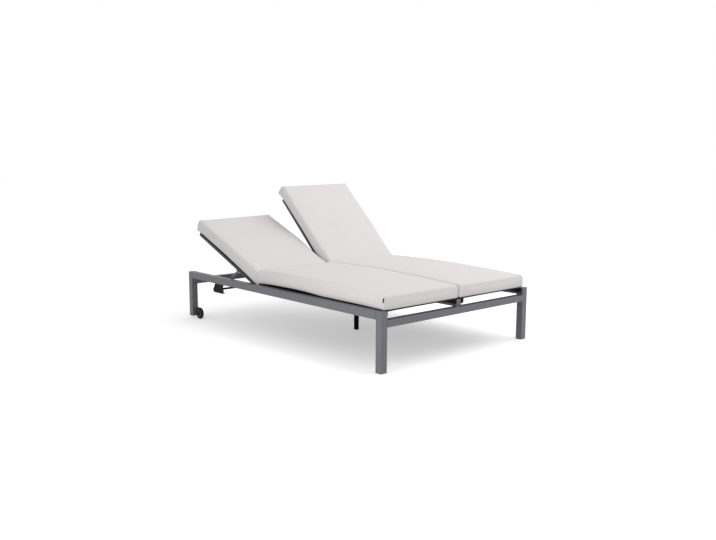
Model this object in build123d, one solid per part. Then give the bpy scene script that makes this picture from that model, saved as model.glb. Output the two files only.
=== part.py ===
from build123d import *
from math import cos, pi, radians, sin, sqrt

# A double chaise lounger: two sun beds side by side on one frame of square tube. Each bed has a
# fabric sling, a folding cushion and a backrest of its own, which is propped up on a notched rack.
# The legs at the head end stop short of the floor, and two small wheels stand there in their place.
#
# X runs across, Y runs from the foot end to the head end, and Z runs up from the floor.
# The origin is on the floor, under the middle of the frame. A person lying down has their right
# hand on the -X side, so the bed on that side is called right and the other one left.

right, left = -1, 1
outer, inner = "outer", "inner"

# Overall sizes, in millimetres
frame_length = 2000
frame_width = 1280
deck_height = 335

# Square tube of the legs and the side rails
tube_width = 45
tube_wall = 2.5
tube_corner = 3
inner_corner_share = 0.4

# Cross rails, and the centre rail that lies on them
cross_rail_height = 40
centre_rail_width = 45
centre_rail_height = 42
centre_rail_drop = 5
centre_rail_setback = 20

# Leg under the centre rail
centre_leg_width = 25
centre_leg_wall = 2
centre_leg_offset = 90

# Caps of the legs, and how far the head legs stop above the floor
glide_thickness = 6
head_leg_lift = 16
head_cap_thickness = 4
cap_chamfer = 2.5
plug_depth = 18
plug_wall = 3
plug_clearance = 0.2

# Brace at the end of the seat sling
brace_width = 25
brace_wall = 2
brace_drop = 5
brace_to_hinge = 58

# Rails with a groove that hold the edges of the seat slings
sling_rail_width = 16
sling_rail_height = 30
sling_rail_round = 12
sling_rail_edge = 2
sling_rail_drop = 2
sling_rail_wall = 2.5
sling_rail_foot_gap = 15
sling_rail_hinge_gap = 75

# Slings, with a round bead along each edge that sits in a groove
sling_thickness = 2
sling_gap = 0.5
bead_diameter = 6
bead_clearance = 0.5
groove_lip = 2
slot_width = 3
neck_thickness = 1.6
hem_length = 28
hem_thickness = 5

# Backrest frames
back_length = 740
back_end_gap = 24.5
back_tube_width = 25
back_tube_height = 25
back_tube_wall = 2
back_tube_corner = 2.5
hinge_tail = 17.5
bottom_tube_place = 47.5
back_sling_start = 70
right_back_angle = 22.5
left_back_angle = 44

# Hinges between the rails and the backrests
bearing_plate_thickness = 4
bearing_plate_length = 68
bearing_plate_height = 34
bearing_plate_corner = 9
hinge_bolt_diameter = 8
hinge_collar_diameter = 18
hinge_collar_length = 3
hinge_head_width = 13
hinge_head_length = 6
side_play = 0.2
running_clearance = 0.05

# Props under the backrests
pivot_reach = 228
pivot_drop = 22
prop_length = 318
prop_arm_width = 16
prop_arm_thickness = 5
prop_arm_inset = 19
prop_foot_width = 22
prop_bar_diameter = 14
prop_bar_wall = 1.5
prop_bar_inset = 5
bar_below_rail = 60
weld_gap = 0.1
lug_thickness = 5
lug_round = 9
lug_foot_length = 38
lug_gap = 1
pin_diameter = 6
pin_head_diameter = 11
pin_head_length = 3

# Racks that hold the prop bars
notch_count = 3
rack_plate_thickness = 4
rack_ledge_width = 13
rack_cup_radius = 15
rack_notch_depth = 4
rack_clearance = 0.8
rack_overlap = 28
rack_top_length = 64
rack_top_shift = 13
rack_top_corner = 8
rack_screw_diameter = 5
rack_screw_head_diameter = 9
rack_screw_head_length = 3
rack_screw_pitch = 34
rack_screw_drop = 15

# Wheels beside the head legs
wheel_diameter = 80
wheel_width = 20
wheel_to_leg = 7
tyre_thickness = 11
tyre_chamfer = 4
hub_rim_thickness = 4
hub_rim_width = 17
hub_web_thickness = 4
hub_boss_diameter = 18
hub_rib_count = 6
hub_rib_thickness = 2.5
hub_seat_clearance = 0.1
axle_diameter = 8
axle_collar_diameter = 13
axle_collar_length = 4.5
axle_head_diameter = 15
axle_head_length = 3
wheel_plate_thickness = 3
wheel_plate_round = 13
wheel_plate_height = 56
wheel_plate_edge = 6
wheel_plate_lift = 22

# Cushions: the left one lies a little further out, and higher up its backrest
right_cushion_inset = 38
left_cushion_inset = 20
right_cushion_overhang = 25
left_cushion_overhang = 48
cushion_split = 10
cushion_height = 84
cushion_crown = 12
cushion_foot_gap = 22
cushion_edge_round = 14
cushion_draw_in = 3
cushion_side_bulge = 2
cushion_gap = 0.3
end_depth_shares = (0, 0.3, 1)
body_length_shares = (0.25, 0.5, 0.75)
fold_setback = 7.5
fold_lean = 14
fold_gap = 0.6
fold_span = 1500

# How far a cutting tool runs past the face it cuts
overrun = 5

# Places worked out from the sizes above
side_face = frame_width / 2 - tube_width
centre_face = centre_rail_width / 2
leg_centre_x = frame_width / 2 - tube_width / 2
leg_centre_y = frame_length / 2 - tube_width / 2
side_rail_underside = deck_height - tube_width
cross_rail_top = deck_height - centre_rail_drop - centre_rail_height
hinge_y = frame_length / 2 - back_end_gap - back_length
hinge_z = deck_height - back_tube_height / 2
back_tube_inset = bearing_plate_thickness + hinge_collar_length
bar_z = side_rail_underside - bar_below_rail
bar_radius = prop_bar_diameter / 2
bore_radius = bead_diameter / 2 + bead_clearance
hinge_hole_radius = hinge_bolt_diameter / 2 + running_clearance
sling_rail_top = deck_height - sling_rail_drop
seat_sling_top = sling_rail_top + sling_gap + sling_thickness
back_sling_top = deck_height + sling_gap + sling_thickness
wheel_y = frame_length / 2 - tube_width - wheel_to_leg - wheel_diameter / 2
wheel_z = wheel_diameter / 2
back_angle = {right: right_back_angle, left: left_back_angle}
steepest_angle = max(right_back_angle, left_back_angle)
lowest_angle = min(right_back_angle, left_back_angle)
side_name = {right: "right", left: "left"}
cushion_inset = {right: right_cushion_inset, left: left_cushion_inset}
cushion_overhang = {right: right_cushion_overhang, left: left_cushion_overhang}


# Where things lie

def across(side, edge, inset):
    """X of a point in a bed's bay, counted inwards from the face of its outer or inner rail."""
    if edge == outer:
        return side * (side_face - inset)
    return side * (centre_face + inset)


def pivot_place(angle):
    """Y and Z of a prop's upper pivot when its backrest stands at an angle."""
    turn = radians(angle)
    y = hinge_y + pivot_reach * cos(turn) + pivot_drop * sin(turn)
    z = hinge_z + pivot_reach * sin(turn) - pivot_drop * cos(turn)
    return y, z


def bar_place(angle):
    """Y and Z of a prop's bar when its backrest stands at an angle and the bar is on the rack."""
    y, z = pivot_place(angle)
    return y + sqrt(prop_length**2 - (z - bar_z)**2), bar_z


def notch_places():
    """Y of each notch of a rack, from the steepest backrest position to the lowest one."""
    first = bar_place(steepest_angle)[0]
    last = bar_place(lowest_angle)[0]
    pitch = (last - first) / (notch_count - 1)
    return [first + pitch * number for number in range(notch_count)]


def raised(shape, side):
    """A piece of a backrest, modelled lying flat, turned up about the hinge to its rest angle."""
    hinge = Axis((0, hinge_y, hinge_z), (1, 0, 0))
    return shape.rotate(hinge, back_angle[side])


# Ways to make a bar from its section

def along_x(section, one_x, other_x):
    """Extrude a Y-Z section between two X places."""
    return extrude(Plane.YZ.offset(min(one_x, other_x)) * section, abs(other_x - one_x), dir=(1, 0, 0))


def along_y(section, from_y, to_y):
    """Extrude an X-Z section between two Y places."""
    return extrude(Plane.XZ.offset(-from_y) * section, to_y - from_y, dir=(0, 1, 0))


def along_z(section, from_z, to_z):
    """Extrude an X-Y section between two Z places."""
    return extrude(Plane.XY.offset(from_z) * section, to_z - from_z, dir=(0, 0, 1))


def tube_inside(width, height, wall, corner):
    """Section of the hollow of a rectangular tube."""
    return RectangleRounded(width - 2 * wall, height - 2 * wall, corner * inner_corner_share)


def tube_section(width, height, wall, corner):
    """Section of a rectangular tube with rounded corners."""
    return RectangleRounded(width, height, corner) - tube_inside(width, height, wall, corner)


def keep(name, *solids):
    """Write one piece, or a set of identical pieces, under its own name."""
    shape = solids[0] if len(solids) == 1 else Compound(children=list(solids))
    export_step(shape, f"parts/{name}.step")


# The frame

def closed_leg(x, y, from_z, to_z, width, wall, corner):
    """Upright tube, welded shut at the top."""
    place = Pos(x, y)
    outside = along_z(place * RectangleRounded(width, width, corner), from_z, to_z)
    hollow = along_z(place * tube_inside(width, width, wall, corner), from_z - overrun, to_z - wall)
    return outside - hollow


def leg_cap(x, y, from_z, thickness, width, wall, corner):
    """Moulded cap: a flange under the tube, and a hollow plug inside it."""
    place = Pos(x, y)
    flange = along_z(place * RectangleRounded(width, width, corner), from_z, from_z + thickness)
    flange = chamfer(flange.edges().group_by(Axis.Z)[0], cap_chamfer)
    plug_width = width - 2 * wall - 2 * plug_clearance
    plug = tube_section(plug_width, plug_width, plug_wall, corner * inner_corner_share)
    return flange + along_z(place * plug, from_z + thickness, from_z + thickness + plug_depth)


def side_rail(side):
    """Side rail between a foot leg and a head leg, with a hole for the hinge bolt."""
    place = Pos(side * leg_centre_x, deck_height - tube_width / 2)
    reach = frame_length / 2 - tube_width
    rail = along_y(place * tube_section(tube_width, tube_width, tube_wall, tube_corner), -reach, reach)
    hole = Pos(hinge_y, hinge_z) * Circle(hinge_hole_radius)
    return rail - along_x(hole, across(side, outer, -tube_wall - overrun), across(side, outer, overrun))


def cross_rail(end):
    """Rail across the foot end or the head end, flush with the faces of the legs."""
    place = Pos(end * leg_centre_y, cross_rail_top - cross_rail_height / 2)
    section = tube_section(tube_width, cross_rail_height, tube_wall, tube_corner)
    return along_x(place * section, -side_face, side_face)


def centre_rail():
    """Rail along the middle, lying on the two cross rails and closed at both ends."""
    place = Pos(0, cross_rail_top + centre_rail_height / 2)
    reach = frame_length / 2 - centre_rail_setback
    outside = RectangleRounded(centre_rail_width, centre_rail_height, tube_corner)
    inside = tube_inside(centre_rail_width, centre_rail_height, tube_wall, tube_corner)
    rail = along_y(place * outside, -reach, reach) - along_y(place * inside, -reach + tube_wall, reach - tube_wall)
    hole = Pos(hinge_y, hinge_z) * Circle(hinge_hole_radius)
    return rail - along_x(hole, -centre_face - overrun, centre_face + overrun)


def brace(side):
    """Tube between the side rail and the centre rail, under the end of the seat sling."""
    place = Pos(hinge_y - brace_to_hinge, deck_height - brace_drop - brace_width / 2)
    section = tube_section(brace_width, brace_width, brace_wall, tube_corner)
    return along_x(place * section, across(side, outer, 0), across(side, inner, 0))


def frame_pieces():
    """Legs, rails and caps."""
    for side in (right, left):
        name = side_name[side]
        x = side * leg_centre_x
        head_z = head_leg_lift + head_cap_thickness
        keep(f"side_rail_{name}", side_rail(side))
        keep(f"foot_leg_{name}",
             closed_leg(x, -leg_centre_y, glide_thickness, deck_height, tube_width, tube_wall, tube_corner))
        keep(f"head_leg_{name}",
             closed_leg(x, leg_centre_y, head_z, deck_height, tube_width, tube_wall, tube_corner))
        keep(f"foot_glide_{name}",
             leg_cap(x, -leg_centre_y, 0, glide_thickness, tube_width, tube_wall, tube_corner))
        keep(f"brace_{name}", brace(side))
    keep("head_leg_caps", *[
        leg_cap(side * leg_centre_x, leg_centre_y, head_leg_lift, head_cap_thickness,
                tube_width, tube_wall, tube_corner)
        for side in (right, left)])
    keep("foot_cross_rail", cross_rail(-1))
    keep("head_cross_rail", cross_rail(1))
    keep("centre_rail", centre_rail())
    keep("centre_leg",
         closed_leg(0, -centre_leg_offset, glide_thickness, cross_rail_top,
                    centre_leg_width, centre_leg_wall, tube_corner))
    keep("centre_foot",
         leg_cap(0, -centre_leg_offset, 0, glide_thickness, centre_leg_width, centre_leg_wall, tube_corner))


# The slings and the grooves that hold them

def groove_section(top_z):
    """Keyhole section of a groove: a round bore with a slot up to the top face."""
    bore_z = top_z - groove_lip - bore_radius
    bore = Pos(0, bore_z) * Circle(bore_radius)
    slot_height = top_z + overrun - bore_z
    return bore + Pos(0, bore_z + slot_height / 2) * Rectangle(slot_width, slot_height)


def sling_rail(side, edge):
    """Extruded rail with a round inner side, a groove in its top and a hollow below."""
    middle = across(side, edge, sling_rail_width / 2)
    inwards = -side if edge == outer else side
    bottom = sling_rail_top - sling_rail_height
    outline = Pos(0, bottom + sling_rail_height / 2) * Rectangle(sling_rail_width, sling_rail_height)
    bay_side = outline.vertices().sort_by(Axis.X)[-2:] if inwards > 0 else outline.vertices().sort_by(Axis.X)[:2]
    outline = fillet(bay_side.sort_by(Axis.Y)[:1], sling_rail_round)
    outline = fillet(outline.vertices().group_by(Axis.Y)[-1], sling_rail_edge)
    hollow_top = sling_rail_top - groove_lip - 2 * bore_radius - sling_rail_wall
    hollow_height = (hollow_top - bottom - sling_rail_wall) / 2
    hollow = Pos(0, hollow_top - hollow_height / 2) * Rectangle(
        sling_rail_width - 2 * sling_rail_wall, hollow_height)
    section = outline - groove_section(sling_rail_top) - hollow
    return along_y(Pos(middle, 0) * section,
                   -frame_length / 2 + sling_rail_foot_gap, hinge_y - sling_rail_hinge_gap)


def sling(side, groove_inset, groove_top, sheet_top, from_y, to_y, hem_ends):
    """Fabric stretched between two grooves, with a bead along each side and a hem at its ends."""
    one = across(side, outer, groove_inset)
    other = across(side, inner, groove_inset)
    middle, span = (one + other) / 2, abs(other - one)
    bead_z = groove_top - groove_lip - bore_radius
    sheet_middle = sheet_top - sling_thickness / 2
    section = Pos(middle, sheet_middle) * Rectangle(span + neck_thickness, sling_thickness)
    for x in (one, other):
        neck_height = sheet_middle - bead_z
        section += Pos(x, bead_z + neck_height / 2) * Rectangle(neck_thickness, neck_height)
        section += Pos(x, bead_z) * Circle(bead_diameter / 2)
    fabric = along_y(section, from_y, to_y)
    hem_width = span - 2 * groove_inset
    hem = Pos(middle, sheet_top - hem_thickness / 2) * RectangleRounded(
        hem_width, hem_thickness, sling_thickness)
    for start in hem_ends:
        fabric += along_y(hem, start, start + hem_length)
    return fabric


def seat_slings():
    """Grooved rails along both sides of each seat, and the sling between them."""
    for side in (right, left):
        name = side_name[side]
        for edge in (outer, inner):
            keep(f"sling_rail_{name}_{edge}", sling_rail(side, edge))
        from_y = -frame_length / 2 + sling_rail_foot_gap
        to_y = hinge_y - sling_rail_hinge_gap
        keep(f"seat_sling_{name}",
             sling(side, sling_rail_width / 2, sling_rail_top, seat_sling_top, from_y, to_y,
                   [from_y, to_y - hem_length]))


# The backrests, modelled lying flat and then raised

def corner_cut(side, edge, end_y):
    """Wedge that a mitred corner of a backrest takes off its side tube."""
    outside = across(side, edge, back_tube_inset)
    inside = across(side, edge, back_tube_inset + back_tube_width)
    wedge = Polygon((outside, end_y), (inside, end_y - back_tube_width), (inside, end_y + overrun),
                    (outside, end_y + overrun), align=None)
    return along_z(wedge, hinge_z - back_tube_height, hinge_z + back_tube_height)


def prop_lug(side, edge):
    """Lug welded under a side tube, which carries the prop's pin."""
    y, z = hinge_y + pivot_reach, hinge_z - pivot_drop
    underside = hinge_z - back_tube_height / 2
    foot = Pos(y, underside - lug_gap / 2) * Rectangle(lug_foot_length, lug_gap)
    outline = make_hull((foot + Pos(y, z) * Circle(lug_round)).edges())
    outline -= Pos(y, z) * Circle(pin_diameter / 2 + running_clearance)
    start = prop_arm_inset - lug_gap - lug_thickness
    return along_x(outline, across(side, edge, start), across(side, edge, start + lug_thickness))


def back_side_tube(side, edge):
    """Side tube with the sling's groove, the hinge hole, a mitred head end and the prop's lug."""
    x = across(side, edge, back_tube_inset + back_tube_width / 2)
    from_y, to_y = hinge_y - hinge_tail, hinge_y + back_length
    place = Pos(x, hinge_z)
    tube = along_y(place * RectangleRounded(back_tube_width, back_tube_height, back_tube_corner), from_y, to_y)
    chamber_top = deck_height - groove_lip - 2 * bore_radius - back_tube_wall
    chamber_bottom = deck_height - back_tube_height + back_tube_wall
    chamber = Pos(x, (chamber_top + chamber_bottom) / 2) * Rectangle(
        back_tube_width - 2 * back_tube_wall, chamber_top - chamber_bottom)
    tube -= along_y(chamber, from_y + back_tube_wall, to_y + overrun)
    tube -= along_y(Pos(x, 0) * groove_section(deck_height), from_y - overrun, to_y + overrun)
    tube -= along_x(Pos(hinge_y, hinge_z) * Circle(hinge_hole_radius),
                    x - back_tube_width, x + back_tube_width)
    tube -= corner_cut(side, edge, to_y)
    return tube + prop_lug(side, edge)


def back_top_tube(side):
    """Tube across the head end of a backrest, mitred at both ends."""
    to_y = hinge_y + back_length
    section = tube_section(back_tube_width, back_tube_height, back_tube_wall, back_tube_corner)
    tube = along_x(Pos(to_y - back_tube_width / 2, hinge_z) * section,
                   across(side, outer, back_tube_inset), across(side, inner, back_tube_inset))
    for edge in (outer, inner):
        outside = across(side, edge, back_tube_inset)
        inside = across(side, edge, back_tube_inset + back_tube_width)
        wedge = Polygon((outside, to_y), (inside, to_y - back_tube_width),
                        (outside, to_y - back_tube_width), align=None)
        tube -= along_z(wedge, hinge_z - back_tube_height, hinge_z + back_tube_height)
    return tube


def back_bottom_tube(side):
    """Tube between the side tubes, just past the hinge."""
    inset = back_tube_inset + back_tube_width
    section = tube_section(back_tube_width, back_tube_height, back_tube_wall, back_tube_corner)
    return along_x(Pos(hinge_y + bottom_tube_place, hinge_z) * section,
                   across(side, outer, inset), across(side, inner, inset))


def prop_pin(side, edge):
    """Riveted pin that joins a prop arm to its lug."""
    place = Pos(hinge_y + pivot_reach, hinge_z - pivot_drop)
    start = prop_arm_inset - lug_gap - lug_thickness
    stop = prop_arm_inset + prop_arm_thickness + side_play
    head = place * Circle(pin_head_diameter / 2)
    shank = place * Circle(pin_diameter / 2)
    pin = along_x(shank, across(side, edge, start - pin_head_length), across(side, edge, stop + pin_head_length))
    pin += along_x(head, across(side, edge, start - pin_head_length), across(side, edge, start))
    return pin + along_x(head, across(side, edge, stop), across(side, edge, stop + pin_head_length))


def backrest_pieces():
    """Tubes, sling and prop pins of the two backrests."""
    for side in (right, left):
        name = side_name[side]
        for edge in (outer, inner):
            keep(f"back_tube_{name}_{edge}", raised(back_side_tube(side, edge), side))
        keep(f"back_top_tube_{name}", raised(back_top_tube(side), side))
        keep(f"back_bottom_tube_{name}", raised(back_bottom_tube(side), side))
        from_y = hinge_y + back_sling_start
        to_y = hinge_y + back_length - back_tube_width - overrun
        fabric = sling(side, back_tube_inset + back_tube_width / 2, deck_height, back_sling_top, from_y, to_y, [])
        keep(f"back_sling_{name}", raised(fabric, side))
        keep(f"prop_pins_{name}", *[raised(prop_pin(side, edge), side) for edge in (outer, inner)])


# The hinges

def bearing_plate(side, edge):
    """Plate on the face of a rail that the hinge bolt goes through."""
    outline = Pos(hinge_y, hinge_z) * RectangleRounded(
        bearing_plate_length, bearing_plate_height, bearing_plate_corner)
    outline = Pos(0, -bearing_plate_height / 2 + back_tube_height / 2 - centre_rail_drop) * outline
    outline -= Pos(hinge_y, hinge_z) * Circle(hinge_hole_radius)
    return along_x(outline, across(side, edge, 0), across(side, edge, bearing_plate_thickness))


def hinge_bolt(side, edge):
    """Bolt with a collar against the plate and a six-sided head inside the backrest's tube."""
    place = Pos(hinge_y, hinge_z)
    head_start = back_tube_inset + back_tube_width + side_play
    bolt = along_x(place * Circle(hinge_bolt_diameter / 2), across(side, edge, -tube_wall),
                   across(side, edge, head_start + hinge_head_length))
    bolt += along_x(place * Circle(hinge_collar_diameter / 2), across(side, edge, bearing_plate_thickness),
                    across(side, edge, back_tube_inset - side_play))
    head = place * RegularPolygon(hinge_head_width / 2, 6, major_radius=False)
    return bolt + along_x(head, across(side, edge, head_start), across(side, edge, head_start + hinge_head_length))


# The props and their racks

def prop_arm(side, edge):
    """Flat arm from the pin under the backrest to the bar on the rack."""
    top, foot = pivot_place(back_angle[side]), bar_place(back_angle[side])
    ends = Pos(*top) * Circle(prop_arm_width / 2) + Pos(*foot) * Circle(prop_foot_width / 2)
    outline = make_hull(ends.edges())
    outline -= Pos(*top) * Circle(pin_diameter / 2 + running_clearance)
    outline -= Pos(*foot) * Circle(bar_radius + weld_gap)
    return along_x(outline, across(side, edge, prop_arm_inset),
                   across(side, edge, prop_arm_inset + prop_arm_thickness))


def prop_bar(side):
    """Round tube across the bay, whose ends ride on the two racks."""
    place = Pos(*bar_place(back_angle[side]))
    section = Circle(bar_radius) - Circle(bar_radius - prop_bar_wall)
    return along_x(place * section, across(side, outer, prop_bar_inset), across(side, inner, prop_bar_inset))


def rack_screw_places():
    """Y and Z of the two screws of a rack, which sit towards the foot end of its top."""
    places = notch_places()
    middle = (places[0] + places[-1]) / 2 - rack_top_shift
    z = side_rail_underside + rack_overlap - rack_screw_drop
    return [(middle + shift, z) for shift in (-rack_screw_pitch / 2, rack_screw_pitch / 2)]


def rack_outline(cups):
    """Outline of a rack's plate: a hull round its cups and the two corners of its top."""
    places = notch_places()
    middle = (places[0] + places[-1]) / 2 - rack_top_shift
    corner_z = side_rail_underside + rack_overlap - rack_top_corner
    reach = rack_top_length / 2 - rack_top_corner
    corners = cups[0] + cups[-1]
    for shift in (-reach, reach):
        corners += Pos(middle + shift, corner_z) * Circle(rack_top_corner)
    return make_hull(corners.edges())


def rack(side, edge):
    """Moulded rack: a plate on the rail's face, with a ledge under each place of the prop bar."""
    places = notch_places()
    cups = [Pos(y, bar_z) * Circle(rack_cup_radius) for y in places]
    plate = rack_outline(cups)
    for place in rack_screw_places():
        plate -= Pos(*place) * Circle(rack_screw_diameter / 2 + running_clearance)
    body = along_x(plate, across(side, edge, 0), across(side, edge, rack_plate_thickness))
    tip_z = bar_z - bar_radius - rack_clearance
    below = Pos(places[0], tip_z - rack_cup_radius) * Rectangle(frame_width, 2 * rack_cup_radius)
    for y, cup in zip(places, cups):
        ledge = cup & below
        ledge -= Pos(y, bar_z - rack_notch_depth) * Circle(bar_radius + rack_clearance)
        body += along_x(ledge, across(side, edge, rack_plate_thickness),
                        across(side, edge, rack_plate_thickness + rack_ledge_width))
    return body


def rack_screws(side, edge):
    """The two screws that hold a rack to its rail."""
    screws = []
    for spot in rack_screw_places():
        place = Pos(*spot)
        screw = along_x(place * Circle(rack_screw_diameter / 2), across(side, edge, 0),
                        across(side, edge, rack_plate_thickness))
        head = along_x(place * Circle(rack_screw_head_diameter / 2), across(side, edge, rack_plate_thickness),
                       across(side, edge, rack_plate_thickness + rack_screw_head_length))
        screws.append(screw + head)
    return screws


def mechanism_pieces():
    """Hinges, props and racks."""
    bays = [(side, edge) for side in (right, left) for edge in (outer, inner)]
    keep("bearing_plates", *[bearing_plate(side, edge) for side, edge in bays])
    keep("hinge_bolts", *[hinge_bolt(side, edge) for side, edge in bays])
    keep("rack_screws", *[screw for side, edge in bays for screw in rack_screws(side, edge)])
    for side, edge in bays:
        keep(f"rack_{side_name[side]}_{edge}", rack(side, edge))
        keep(f"prop_arm_{side_name[side]}_{edge}", prop_arm(side, edge))
    for side in (right, left):
        keep(f"prop_bar_{side_name[side]}", prop_bar(side))


# The wheels

def wheel_place(side):
    """Move a wheel piece, modelled about the Z axis, to its axle beside a head leg."""
    x = side * (side_face + axle_collar_length + wheel_width / 2)
    return Pos(x, wheel_y, wheel_z) * Rot(0, 90 * side, 0)


def tyre(side):
    """Solid tyre with a bevelled tread."""
    outside = wheel_diameter / 2
    section = Pos(outside - tyre_thickness / 2, 0) * Rectangle(tyre_thickness, wheel_width)
    tread = section.vertices().group_by(Axis.X)[-1]
    section = chamfer(tread, tyre_chamfer)
    return wheel_place(side) * revolve(Plane.XZ * section, Axis.Z)


def hub(side):
    """Moulded hub: a rim, a thin disc, a boss and ribs between them."""
    rim_outside = wheel_diameter / 2 - tyre_thickness - hub_seat_clearance
    rim_inside = rim_outside - hub_rim_thickness
    boss = hub_boss_diameter / 2
    body = along_z(Circle(rim_outside) - Circle(rim_inside), -hub_rim_width / 2, hub_rim_width / 2)
    body += along_z(Circle(rim_inside), -hub_web_thickness / 2, hub_web_thickness / 2)
    body += along_z(Circle(boss), -wheel_width / 2, wheel_width / 2)
    rib_length = rim_inside - boss + hub_rim_thickness
    rib = along_z(Pos(boss + rib_length / 2 - hub_rim_thickness / 2, 0) * Rectangle(rib_length, hub_rib_thickness),
                  -hub_rim_width / 2, hub_rim_width / 2)
    for number in range(hub_rib_count):
        body += rib.rotate(Axis.Z, 360 / hub_rib_count * number)
    bore = Circle(axle_diameter / 2 + running_clearance)
    return wheel_place(side) * (body - along_z(bore, -wheel_width, wheel_width))


def axle(side):
    """Pin riveted into the bracket, with a collar inside the wheel and a head outside it."""
    place = Pos(wheel_y, wheel_z)
    plate = side * (side_face - wheel_plate_thickness)
    collar = side * (side_face + axle_collar_length - side_play)
    head = side * (side_face + axle_collar_length + wheel_width + side_play)
    tip = side * (side_face + axle_collar_length + wheel_width + side_play + axle_head_length)
    pin = along_x(place * Circle(axle_diameter / 2), plate, tip)
    pin += along_x(place * Circle(axle_collar_diameter / 2), side * side_face, collar)
    return pin + along_x(place * Circle(axle_head_diameter / 2), head, tip)


def wheel_bracket(side):
    """Plate on the inner face of a head leg, reaching forward to the axle."""
    leg_side = Pos(leg_centre_y, wheel_plate_lift + wheel_plate_height / 2) * Rectangle(
        tube_width - 2 * wheel_plate_edge, wheel_plate_height)
    outline = make_hull((leg_side + Pos(wheel_y, wheel_z) * Circle(wheel_plate_round)).edges())
    outline -= Pos(wheel_y, wheel_z) * Circle(axle_diameter / 2 + running_clearance)
    return along_x(outline, side * side_face, side * (side_face - wheel_plate_thickness))


def wheel_pieces():
    """Wheels, axles and brackets."""
    for side in (right, left):
        name = side_name[side]
        keep(f"tyre_{name}", tyre(side))
        keep(f"hub_{name}", hub(side))
        keep(f"wheel_bracket_{name}", wheel_bracket(side))
    keep("wheel_axles", axle(right), axle(left))


# The cushions

def cushion_outline(width, draw, trim, crown):
    """Outline across a cushion: flat underside, rounded edges, bulging sides and a crowned top."""
    reach = width / 2 - draw
    low, high = trim, cushion_height - trim
    radius = cushion_edge_round
    slant = radius * (1 - sin(pi / 4))
    bulge = reach + cushion_side_bulge
    middle = (low + high) / 2
    edges = [Line((radius - reach, low), (reach - radius, low))]
    edges += [ThreePointArc((reach - radius, low), (reach - slant, low + slant), (reach, low + radius))]
    edges += [ThreePointArc((reach, low + radius), (bulge, middle), (reach, high - radius))]
    edges += [ThreePointArc((reach, high - radius), (reach - slant, high - slant), (reach - radius, high))]
    edges += [ThreePointArc((reach - radius, high), (0, high + crown), (radius - reach, high))]
    edges += [ThreePointArc((radius - reach, high), (slant - reach, high - slant), (-reach, high - radius))]
    edges += [ThreePointArc((-reach, high - radius), (-bulge, middle), (-reach, low + radius))]
    edges += [ThreePointArc((-reach, low + radius), (slant - reach, low + slant), (radius - reach, low))]
    return make_face(Curve() + edges)


def cushion_stations(length):
    """Places along a cushion with how much its outline is drawn in, trimmed and crowned there."""
    radius = cushion_edge_round
    stations = []
    for share in end_depth_shares:
        depth = radius * share
        pull = radius - sqrt(radius**2 - (radius - depth)**2)
        stations.append((depth, pull, pull / 2, 1))
    for share in body_length_shares:
        draw = cushion_draw_in * sin(pi * share)
        stations.append((length * share, draw, 0, cushion_crown * sin(pi * share)))
    for share in reversed(end_depth_shares):
        depth = radius * share
        pull = radius - sqrt(radius**2 - (radius - depth)**2)
        stations.append((length - depth, pull, pull / 2, 1))
    return stations


def cushion(side, from_y, to_y, underside):
    """A box cushion between two Y places, lofted through its outlines."""
    inside, outside = cushion_split / 2, frame_width / 2 - cushion_inset[side]
    x = side * (inside + outside) / 2
    sections = []
    for distance, draw, trim, crown in cushion_stations(to_y - from_y):
        place = Plane((x, from_y + distance, underside), x_dir=(1, 0, 0), z_dir=(0, -1, 0))
        sections.append(place * cushion_outline(outside - inside, draw, trim, crown))
    return loft(sections, ruled=True)


def fold_plane(offset):
    """Plane of the seat cushion's end at the fold, moved towards the head end by an offset."""
    lean = radians(fold_lean)
    normal = (0, cos(lean), sin(lean))
    start = (0, hinge_y - fold_setback, seat_sling_top + cushion_gap)
    return Plane(start, z_dir=normal).offset(offset)


def seat_cushion(side):
    """Seat section, cut off at a lean where it meets the back section."""
    underside = seat_sling_top + cushion_gap
    pad = cushion(side, -frame_length / 2 + cushion_foot_gap, hinge_y + fold_setback * 2, underside)
    return split(pad, bisect_by=fold_plane(0), keep=Keep.BOTTOM)


def back_cushion(side):
    """Back section, cut so that it clears the seat section at every angle of the backrest."""
    underside = back_sling_top + cushion_gap
    pad = cushion(side, hinge_y - fold_setback * 2, hinge_y + back_length + cushion_overhang[side], underside)
    hinge = Axis((0, hinge_y, hinge_z), (1, 0, 0))
    for angle in (0, steepest_angle / 2, steepest_angle):
        turned = pad.rotate(hinge, angle)
        turned = split(turned, bisect_by=fold_plane(fold_gap), keep=Keep.TOP)
        pad = turned.rotate(hinge, -angle)
    return raised(pad, side)


def cushion_pieces():
    """Seat and back sections of the two cushions."""
    for side in (right, left):
        keep(f"seat_cushion_{side_name[side]}", seat_cushion(side))
        keep(f"back_cushion_{side_name[side]}", back_cushion(side))


frame_pieces()
seat_slings()
backrest_pieces()
mechanism_pieces()
wheel_pieces()
cushion_pieces()
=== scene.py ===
# %% [markdown]
# A double sun lounger: two beds on one frame of square tube, each with a sling, a folding
# cushion and a backrest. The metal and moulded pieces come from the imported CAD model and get
# new finishes here. The soft pieces, which CAD can't shape well, are made in this script.
#
# Load the frame first. Everything else is placed by its sizes, in metres.

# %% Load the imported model
import math
import bpy
import numpy as np
from mathutils import Matrix, Vector


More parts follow.
